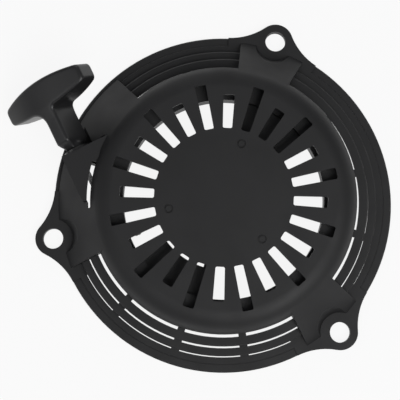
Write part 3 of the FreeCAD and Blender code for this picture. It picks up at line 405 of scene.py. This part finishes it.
# %% Dress the CAD nodes
FINISHES = {
    # node: material and width of the rounded border in mm
    "cover": (cover_plastic, 0.0),
    "rope_guide": (guide_plastic, 0.3),
    "spindle_sleeve": (zinc, 0.15),
    "center_screw": (zinc, 0.15),
    "thrust_washer": (zinc, 0.15),
    "recoil_spring": (blued, 0.0),
    "reel": (reel_plastic, 0.25),
    "spring_keeper": (zinc, 0.1),
    "pawl_pins": (zinc, 0.3),
    "pawl_spring_a": (blued, 0.0),
    "pawl_spring_b": (blued, 0.0),
    "pawl_a": (hardened, 0.3),
    "pawl_b": (hardened, 0.3),
    "ratchet_guide": (cam_plastic, 0.3),
    "friction_spring": (blued, 0.0),
    "grip_insert": (zinc, 0.2),
}


def dress(piece, material, border_mm):
    piece.data.materials.clear()
    piece.data.materials.append(material)
    if border_mm:
        bevel = piece.modifiers.new("border", "BEVEL")
        bevel.width = border_mm * MM
        bevel.segments = 2
        bevel.limit_method = "ANGLE"
        bevel.angle_limit = math.radians(35)


for name, (material, border_mm) in FINISHES.items():
    dress(nodes[name], material, border_mm)
print(len(FINISHES), "CAD nodes dressed")

# %% [markdown]
# ## Where the cord runs
#
# The new pieces have to meet the CAD pieces, so their sizes are read from the frame. The
# CAD ring that stands for the wound cord is four turns: two high and two deep. Its height
# gives the cord's radius, and its outer radius gives the line that the cord is pulled along.

# %% Measure the cord's line
UP = Vector((0, 0, 1))
pull = Vector(joints["handle_pull"]["axis"]).normalized()
outward = UP.cross(pull)
ring_low, ring_high = [Vector(corner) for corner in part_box("rope_winding")]
guide_low, guide_high = [Vector(corner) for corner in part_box("rope_guide")]
cord_r = (ring_high.z - ring_low.z) / 4
line_r = ring_high.x - cord_r
cord_high = (guide_low.z + guide_high.z) / 2
cord_origin = outward * line_r + UP * cord_high
grip_reach = [vertex.co.dot(pull) for vertex in nodes["grip"].data.vertices]
grip_tip, grip_top = min(grip_reach), max(grip_reach)
print("cord radius", round(cord_r / MM, 2), "mm, line", round(line_r / MM, 2), "mm from the axis")

# %% [markdown]
# ## A net over a solid
#
# The parts of the grip flow into each other, which is hard to build from blocks. So the grip
# is written as a field, a function that tells about how far any point is from the surface,
# negative inside. Fields join easily: the smaller of two is their union, and a minimum that
# is rounded off makes a fillet. A surface net then turns a field into a mesh. It lays a grid
# of cells, keeps the cells that the surface crosses, puts one point in each, and joins four
# points round every grid edge that runs from inside to outside. A few Newton steps then pull
# the points close to the surface.

# %% Define the net
NUDGE = 0.02
LEAST_SLOPE = 0.05
LONGEST_MOVE = 1.0


def gradient(field, points):
    """The field's slope at each point, from small differences."""
    slope = np.empty_like(points)
    for axis in range(3):
        shift = np.zeros(3)
        shift[axis] = NUDGE
        slope[:, axis] = (field(points + shift) - field(points - shift)) / (2 * NUDGE)
    return slope


def pull_to_surface(field, points, steps):
    for _ in range(steps):
        slope = gradient(field, points)
        steep = np.maximum((slope ** 2).sum(axis=1), LEAST_SLOPE)
        move = (field(points) / steep)[:, None] * slope
        points = points - np.clip(move, -LONGEST_MOVE, LONGEST_MOVE)
    return points


def surface_net(field, low, high, step):
    """The points and the four-sided faces of the surface where the field is zero."""
    axes = [np.arange(low[axis], high[axis] + step, step) for axis in range(3)]
    grid = np.stack(np.meshgrid(*axes, indexing="ij"), axis=-1)
    inside = field(grid) < 0
    rings = []
    for axis in range(3):
        first = np.take(inside, range(inside.shape[axis] - 1), axis=axis)
        second = np.take(inside, range(1, inside.shape[axis]), axis=axis)
        side_b, side_c = np.eye(3, dtype=int)[(axis + 1) % 3], np.eye(3, dtype=int)[(axis + 2) % 3]
        for leaving, way in ((first & ~second, 1), (second & ~first, -1)):
            start = np.argwhere(leaving)
            ring = np.stack([start, start - side_b, start - side_b - side_c, start - side_c], axis=1)
            rings.append(ring[:, ::way])
    cells = np.concatenate(rings)
    numbers = np.ravel_multi_index(np.moveaxis(cells, -1, 0), inside.shape)
    used, faces = np.unique(numbers, return_inverse=True)
    corners = np.stack(np.unravel_index(used, inside.shape), axis=1)
    points = np.array(low) + (corners + 0.5) * step
    return points, faces.reshape(-1, 4)


def relax(field, points, faces, rounds):
    """Evens out the net: each point moves halfway to its neighbours' middle, then back."""
    pairs = np.concatenate([faces[:, [k, (k + 1) % 4]] for k in range(4)])
    for _ in range(rounds):
        total = np.zeros_like(points)
        count = np.zeros(len(points))
        np.add.at(total, pairs[:, 0], points[pairs[:, 1]])
        np.add.at(count, pairs[:, 0], 1)
        points = pull_to_surface(field, 0.5 * points + 0.5 * total / count[:, None], 2)
    return points


def new_object(name, points, faces, material):
    """A smooth-shaded mesh object in the scene."""
    mesh = bpy.data.meshes.new(name)
    mesh.from_pydata([tuple(point) for point in points], [], [tuple(face) for face in faces])
    mesh.materials.append(material)
    mesh.shade_smooth()
    mesh.update()
    piece = bpy.data.objects.new(name, mesh)
    bpy.context.scene.collection.objects.link(piece)
    return piece


print("net ready")

# %% [markdown]
# ## The grip
#
# The grip is drawn in its own space: x along the crossbar, y through its depth and z up the
# stem from the nozzle's tip. The crossbar is arched on top, bowed in plan and rounded at its
# ends. The stem flares into it, with a wide fillet under one arm and a tight one under the
# other, and tapers at its lower end into the round nozzle that seats in the duct's mouth. A
# round pocket in the top holds the knot, with a bore below it for the cord. Where a corner is
# rounded, the function softer_max keeps the larger of two fields and rounds the place where
# they meet.

# %% Write the grip's field
BAR_HALF = 29.8
BAR_UNDER = 32.8
BAR_END_UNDER = 36.4
BAR_TOP = (grip_top - grip_tip) / MM
BAR_END_TOP = 46.0
BAR_DEEP = 22.0
BAR_END_DEEP = 13.0
STEM_WIDE = 9.0
STEM_DEEP = 20.0
STEM_START = 6.1
NOZZLE_R = 4.7
POCKET_R = 6.0
POCKET_DEEP = 12.0
BORE_ROOM = 0.3
BORE_R = cord_r / MM + BORE_ROOM
GRIP_ROLL = math.radians(33.5)
WIDE_FILLET = 9.0
TIGHT_FILLET = 3.5
BAR_CORNER = 2.6
FRONT_EDGE = 1.9
STEM_SUNK = 7.0
FLARE_BELOW = 7.0
FLARE_LONG = 9.0
TAPER_LONG = 6.0
TAPER_SIDE = 1.2
TAPER_DEEP = 8.4
NOZZLE_SUNK = 3.0
NOZZLE_ROUND = 1.2
NOZZLE_FILLET = 1.5
POCKET_ROUND = 0.8
REACH_MOST = 1.3


def softer_max(first, second, width):
    gap = np.maximum(width - np.abs(first - second), 0.0)
    return np.maximum(first, second) + gap ** 2 / (4 * width)


def softer_min(first, second, width):
    return -softer_max(-first, -second, width)


def ease(share):
    """Rises from 0 to 1 with a level start and end."""
    share = np.clip(share, 0.0, 1.0)
    return share * share * (3 - 2 * share)


def grip_profile(x, z, taper, reach):
    """The T that the grip shows from the front, with a wide fillet under one arm only."""
    top = BAR_TOP + (BAR_END_TOP - BAR_TOP) * reach
    under = BAR_UNDER + (BAR_END_UNDER - BAR_UNDER) * reach
    level = np.abs(z - (top + under) / 2) - (top - under) / 2
    bar = softer_max(level, np.abs(x) - BAR_HALF, BAR_CORNER)
    wide = np.abs(x) - (STEM_WIDE / 2 - TAPER_SIDE * taper)
    shaft = np.maximum(wide, np.maximum(STEM_START - z, z - BAR_UNDER - STEM_SUNK))
    right_side = ease(0.5 + x / STEM_WIDE)
    return softer_min(bar, shaft, WIDE_FILLET + (TIGHT_FILLET - WIDE_FILLET) * right_side)


def grip_field(points):
    x, y, z = points[..., 0], points[..., 1], points[..., 2]
    reach = np.minimum((x / BAR_HALF) ** 2, REACH_MOST)
    taper = ease((STEM_START + TAPER_LONG - z) / TAPER_LONG)
    bar_deep = BAR_DEEP + (BAR_END_DEEP - BAR_DEEP) * reach
    flare = ease((z - BAR_UNDER + FLARE_BELOW) / FLARE_LONG)
    deep = STEM_DEEP - TAPER_DEEP * taper + (bar_deep - STEM_DEEP) * flare
    body = softer_max(grip_profile(x, z, taper, reach), np.abs(y) - deep / 2, FRONT_EDGE)
    from_axis = np.hypot(x, y)
    nozzle_ends = np.maximum(-z, z - STEM_START - NOZZLE_SUNK)
    nozzle = softer_max(from_axis - NOZZLE_R, nozzle_ends, NOZZLE_ROUND)
    body = softer_min(body, nozzle, NOZZLE_FILLET)
    pocket = np.maximum(from_axis - POCKET_R, BAR_TOP - POCKET_DEEP - z)
    return softer_max(body, -np.minimum(pocket, from_axis - BORE_R), POCKET_ROUND)


# %% Build the grip
GRIP_STEP = 0.55
NET_MARGIN = 2.1

grip_x = -outward * math.cos(GRIP_ROLL) + UP * math.sin(GRIP_ROLL)
grip_y = pull.cross(grip_x)
grip_place = Matrix((grip_x, grip_y, pull)).transposed()
grip_origin = cord_origin + pull * grip_tip
net_high = np.array((BAR_HALF, BAR_DEEP / 2, BAR_TOP)) + NET_MARGIN
net_low = net_high * (-1, -1, 0) - (0, 0, NET_MARGIN)
net, net_faces = surface_net(grip_field, net_low, net_high, GRIP_STEP)
net = pull_to_surface(grip_field, net, 6)
net = relax(grip_field, net, net_faces, 3)
grip_points = [grip_origin + grip_place @ Vector(point) * MM for point in net]
grip = new_object("moulded_grip", grip_points, net_faces, grip_plastic)
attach(grip, "handle")
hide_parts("grip")
print("grip", len(net), "points")

# %% [markdown]
# ## The cord's mesh
#
# A cord is a tube swept along a path. At each place on the path a ring of points is laid,
# square to the way the path runs. Each ring's frame is carried over from the one before, so
# the tube doesn't twist. The map's u grows by one for each braid pitch and v goes once
# round. Where relief is asked for, the same two sines as in the material lower the surface
# between the strands.

# %% Define the tube


def tube(name, path, radius, sides, relief=0.0):
    """A closed tube along a list of points, with the cord's map on it."""
    path = np.array([tuple(point) for point in path])
    along = np.gradient(path, axis=0)
    along /= np.linalg.norm(along, axis=1)[:, None]
    length = np.concatenate([[0], np.cumsum(np.linalg.norm(np.diff(path, axis=0), axis=1))])
    turn = np.linspace(0, 2 * math.pi, sides, endpoint=False)
    side = np.cross(along[0], UP) if abs(along[0][2]) < 0.9 else np.cross(along[0], (1, 0, 0))
    pitches = length / (BRAID_PITCH_MM * MM)
    points = []
    for centre, direction, distance in zip(path, along, pitches):
        side = side - direction * side.dot(direction)
        side /= np.linalg.norm(side)
        other = np.cross(direction, side)
        waves = [np.sin(2 * math.pi * distance + sign * STRANDS_ROUND * turn) for sign in (1, -1)]
        reach = radius * (1 - relief * (0.5 - 0.5 * waves[0] * waves[1]))
        across, upward = (reach * np.cos(turn))[:, None], (reach * np.sin(turn))[:, None]
        points.append(centre + across * side + upward * other)
    points = np.concatenate(points)
    faces, maps = [], []
    for ring in range(len(path) - 1):
        for k in range(sides):
            low, high = ring * sides, (ring + 1) * sides
            faces.append((low + k, high + k, high + (k + 1) % sides, low + (k + 1) % sides)[::-1])
            u, next_u, v, next_v = pitches[ring], pitches[ring + 1], k / sides, (k + 1) / sides
            maps += [(u, next_v), (next_u, next_v), (next_u, v), (u, v)]
    ends = [tuple(range(sides))[::-1], tuple(range(len(points) - sides, len(points)))]
    maps += [(0.0, 0.0)] * (len(ends) * sides)
    piece = new_object(name, points, faces + ends, fibre)
    layer = piece.data.uv_layers.new(name="cord")
    layer.data.foreach_set("uv", [number for pair in maps for number in pair])
    return piece


print("tube ready, pitch", BRAID_PITCH_MM, "mm")

# %% [markdown]
# ## The turns on the reel
#
# The cord starts at its knot inside the reel's rim and winds clockwise: an upper and a lower
# turn against the rim, then a lower and an upper one over them. The last turn ends where the
# pulled cord leaves, on the same line and at the same height. Between two turns the cord
# climbs to its next place over a short stretch, and a smooth step does that.

# %% Wind the cord
CLIMB_DEGREES = 26.0
TURN_STEP_DEGREES = 0.8
WOUND_SHARE = 0.97

knot_low, knot_high = [Vector(corner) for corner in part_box("reel_rope_knot")]
knot_middle = (knot_low + knot_high) / 2
start_degrees = math.degrees(math.atan2(knot_middle.y, knot_middle.x)) % 360
exit_degrees = math.degrees(math.atan2(outward.y, outward.x)) % 360
ring_middle = (ring_low.z + ring_high.z) / 2
inner_r = line_r - 2 * cord_r
PLACES = ((inner_r, ring_middle + cord_r), (inner_r, ring_middle - cord_r),
          (line_r, ring_middle - cord_r), (line_r, ring_middle + cord_r))
wound_degrees = len(PLACES) * 360 - (exit_degrees - start_degrees) % 360


def wound_place(degrees):
    """The radius and height of the wound cord, this far round from its start."""
    turn = min(int(degrees // 360), len(PLACES) - 1)
    share = ease((degrees - 360 * turn) / CLIMB_DEGREES)
    before = PLACES[max(turn - 1, 0)]
    return [was + (now - was) * share for was, now in zip(before, PLACES[turn])]


winding_path = []
for degrees in np.arange(0.0, wound_degrees + 0.01, TURN_STEP_DEGREES):
    radius, high = wound_place(degrees)
    angle = math.radians(start_degrees - degrees)
    winding_path.append((radius * math.cos(angle), radius * math.sin(angle), high))
winding = tube("wound_cord", winding_path, cord_r * WOUND_SHARE, sides=12)
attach(winding, "reel")
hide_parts("rope_winding")
print("wound cord", len(winding_path), "rings over", round(wound_degrees), "degrees")

# %% [markdown]
# ## The straight run
#
# From the reel the cord runs straight through the duct and the grip's bore to its knot.

# %% Lay the straight run
RUN_STEP_MM = 0.35
RUN_SHARE = 0.99

run_end = max(vertex.co.dot(pull) for vertex in nodes["rope_run"].data.vertices)
run_start = cord_r
run_distances = np.arange(run_start, run_end, RUN_STEP_MM * MM)
run_path = [cord_origin + pull * distance for distance in run_distances]
run = tube("pulled_cord", run_path, cord_r * RUN_SHARE, sides=24, relief=0.09)
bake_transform(run)
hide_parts("rope_run")
print("run", round((run_end - run_start) / MM, 1), "mm long")

# %% [markdown]
# ## The two knots
#
# Each end is held by a barrel knot: the cord runs up through its own coil, turns over the top
# and winds down around itself twice. The coil keeps within the ball that CAD made for it.

# %% Tie the knots
KNOT_TURNS = 2.0
STRAND_SHARE = 0.42
COIL_SHARE = 0.93
COIL_DROP = 1.45
COIL_OPENS = 6
CORE_STEPS = 12
COIL_STEPS = 60


def barrel_knot(name, middle, axis, reach):
    """A coil of two turns about the axis through the knot's middle, with the cord up its core."""
    side = axis.orthogonal().normalized()
    other = axis.cross(side)
    thin_r = STRAND_SHARE * reach
    coil_r = reach - thin_r
    core = range(CORE_STEPS + 1)
    path = [middle - axis * coil_r * (1 - 2 * k / CORE_STEPS) for k in core]
    for k in range(1, COIL_STEPS + 1):
        share = k / COIL_STEPS
        angle = 2 * math.pi * KNOT_TURNS * share
        out = coil_r * COIL_SHARE * min(1.0, share * COIL_OPENS)
        drop = coil_r * (1 - COIL_DROP * share)
        path.append(middle + axis * drop + (side * math.cos(angle) + other * math.sin(angle)) * out)
    return tube(name, path, thin_r, sides=14, relief=0.08)


KNOTS = (
    # name, CAD node, body, direction of the cord's way in
    ("reel_knot", "reel_rope_knot", "reel", -Vector((knot_middle.x, knot_middle.y, 0)).normalized()),
    ("grip_knot", "grip_rope_knot", "handle", pull),
)
for name, node, body, axis in KNOTS:
    low, high = [Vector(corner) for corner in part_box(node)]
    reach = (high.z - low.z) / 2
    ahead = max(vertex.co.dot(axis) for vertex in nodes[node].data.vertices)
    middle = (low + high) / 2
    middle += axis * (ahead - reach - middle.dot(axis))
    knot = barrel_knot(name, middle, axis, reach)
    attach(knot, body)
    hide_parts(node)
    print(name, "reach", round(reach / MM, 2), "mm")
